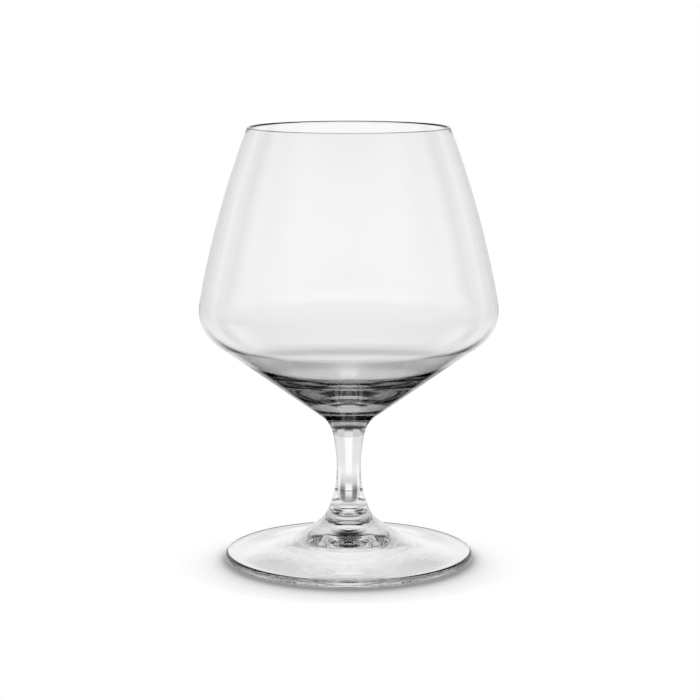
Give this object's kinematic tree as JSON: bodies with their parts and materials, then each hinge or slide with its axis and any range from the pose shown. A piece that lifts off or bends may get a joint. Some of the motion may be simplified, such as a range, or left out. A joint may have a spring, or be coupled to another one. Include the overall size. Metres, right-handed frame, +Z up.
{
  "type": "brandy snifter",
  "caption": "Stemmed brandy glass: a wide, thin-walled bowl that narrows to the mouth, on a short waisted stem and a round foot, cupped in the hand to warm spirits.",
  "frame": {"origin": "on the table, under the centre of the foot", "axes": "+Z up along the axis of the bowl, stem and foot; X and Y lie on the table, and any direction around the axis is alike"},
  "size_m": [0.092, 0.092, 0.134],
  "materials": {
    "clear_glass": "clear, smooth and fire-polished"
  },
  "bodies": {
    "root": {"bowl": "clear_glass", "stem": "clear_glass", "foot": "clear_glass"}
  },
  "joints": []
}
